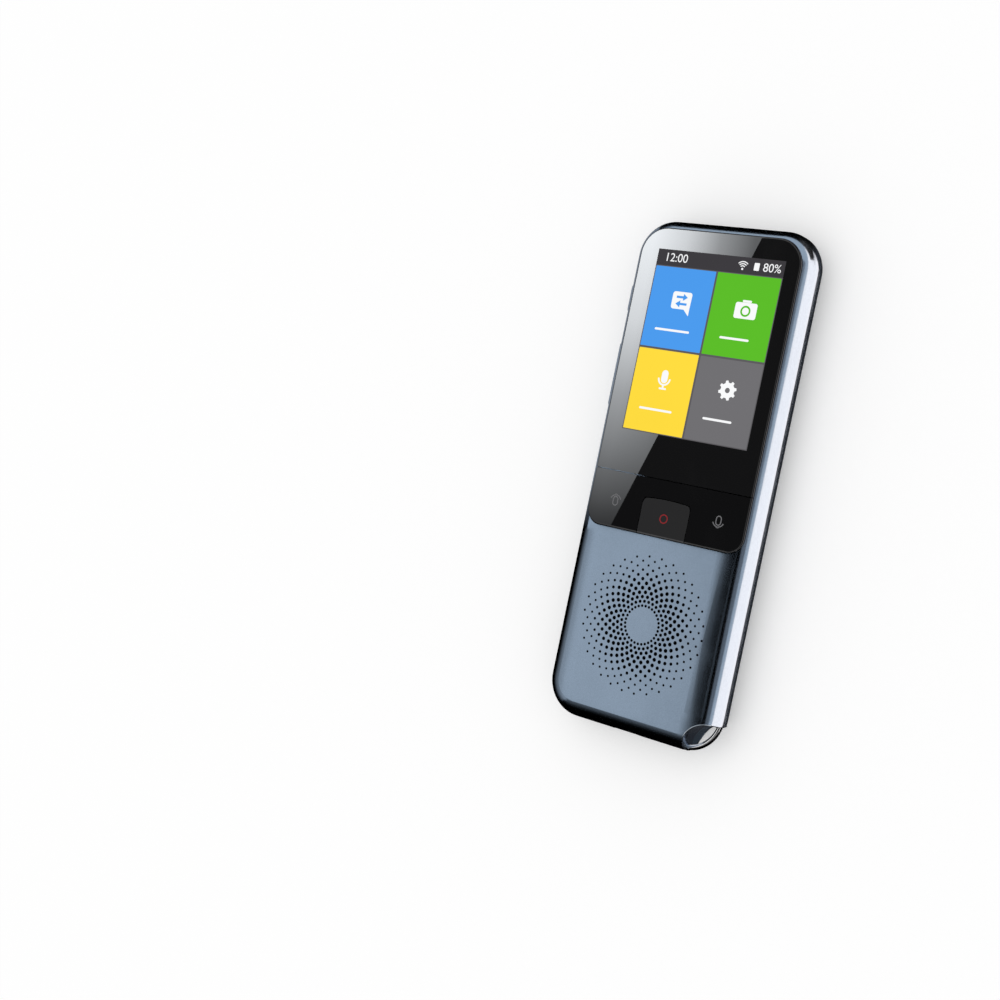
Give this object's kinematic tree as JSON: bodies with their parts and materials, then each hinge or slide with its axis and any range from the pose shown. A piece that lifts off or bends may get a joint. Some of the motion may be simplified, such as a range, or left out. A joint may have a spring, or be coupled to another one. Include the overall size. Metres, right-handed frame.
{
  "type": "handheld translator",
  "caption": "Slim handheld voice translator with a glass-fronted colour display, talk rocker and centre key, rosette speaker grille, rear camera and corner lanyard bar.",
  "frame": {"origin": "centre of the flat back face that it lies on, midway between the sides and the ends", "axes": "+Z out of the screen, +Y along the body to the camera end, +X to the right when the screen is read"},
  "size_m": [0.0529, 0.1358, 0.0124],
  "materials": {
    "front_shell": "satin metallic paint, blue grey",
    "back_shell": "satin metallic paint, light steel blue",
    "black_glass": "polished black",
    "key_black": "polished black",
    "camera_glass": "polished dark",
    "clear_lens": "polished",
    "display": "polished",
    "white_plastic": "matt",
    "polished_steel": "polished",
    "steel": "bright stamped",
    "dark_plastic": "matt",
    "grey_rubber": "matt",
    "board": "solder resist",
    "copper_film": "polyimide film",
    "copper": "enamelled copper wire",
    "foam": "open foam",
    "mesh": "woven",
    "paper_cone": "pressed paper",
    "cell_pouch": "matt foil",
    "ferrite": "plated",
    "red_wire": "matt"
  },
  "bodies": {
    "case": {"front_housing": "front_shell", "back_housing": "back_shell", "display_window": "black_glass", "display_tape": "foam", "screen_glue": "clear_lens", "lcd_panel": "display", "backlight": "white_plastic", "display_flex": "copper_film", "key_membrane": "grey_rubber", "key_domes": "steel", "key_board": "board", "key_connector": "white_plastic", "side_switches": "steel", "side_flex": "copper_film", "side_key_plate": "steel", "camera_window": "camera_glass", "camera_trim": "polished_steel", "lens_ring": "polished_steel", "lens_cover": "clear_lens", "camera_module": "dark_plastic", "camera_gasket": "foam", "flash_lens": "clear_lens", "flash_led": "white_plastic", "flash_stand": "grey_rubber", "lanyard_bar": "polished_steel", "speaker_mesh": "mesh", "speaker_gasket": "foam", "speaker_frame": "steel", "speaker_cone": "paper_cone", "voice_coil": "copper", "speaker_magnet": "ferrite", "speaker_leads": "red_wire", "battery": "cell_pouch", "battery_tape": "white_plastic", "battery_leads": "red_wire", "battery_connector": "white_plastic", "main_board": "board", "shield_cans": "steel", "chips": "dark_plastic", "board_screws": "steel", "usb_board": "board", "usb_socket": "steel", "usb_tongue": "dark_plastic", "usb_flex": "copper_film", "microphone": "steel", "mic_boot": "grey_rubber", "antenna_flex": "copper_film"},
    "talk_rocker": {"talk_rocker": "key_black"},
    "centre_key": {"centre_key": "key_black"},
    "power_key": {"power_key": "front_shell"},
    "volume_rocker": {"volume_rocker": "front_shell"}
  },
  "joints": [
    {"name": "talk_rock", "type": "hinge", "parent": "case", "child": "talk_rocker", "pos_m": [0, -0.003, 0.01135], "axis": [0, 1, 0], "range_deg": [-0.9, 0.9], "stiffness_Nm_per_rad": 1.5},
    {"name": "centre_press", "type": "slide", "parent": "case", "child": "centre_key", "axis": [0, 0, -1], "range_m": [0, 0.0003], "stiffness_N_per_m": 2000},
    {"name": "power_press", "type": "slide", "parent": "case", "child": "power_key", "axis": [1, 0, 0], "range_m": [0, 0.00035], "stiffness_N_per_m": 2000},
    {"name": "volume_rock", "type": "hinge", "parent": "case", "child": "volume_rocker", "pos_m": [-0.02465, 0.025, 0.0072], "axis": [0, 0, 1], "range_deg": [-2, 2], "stiffness_Nm_per_rad": 0.25}
  ]
}
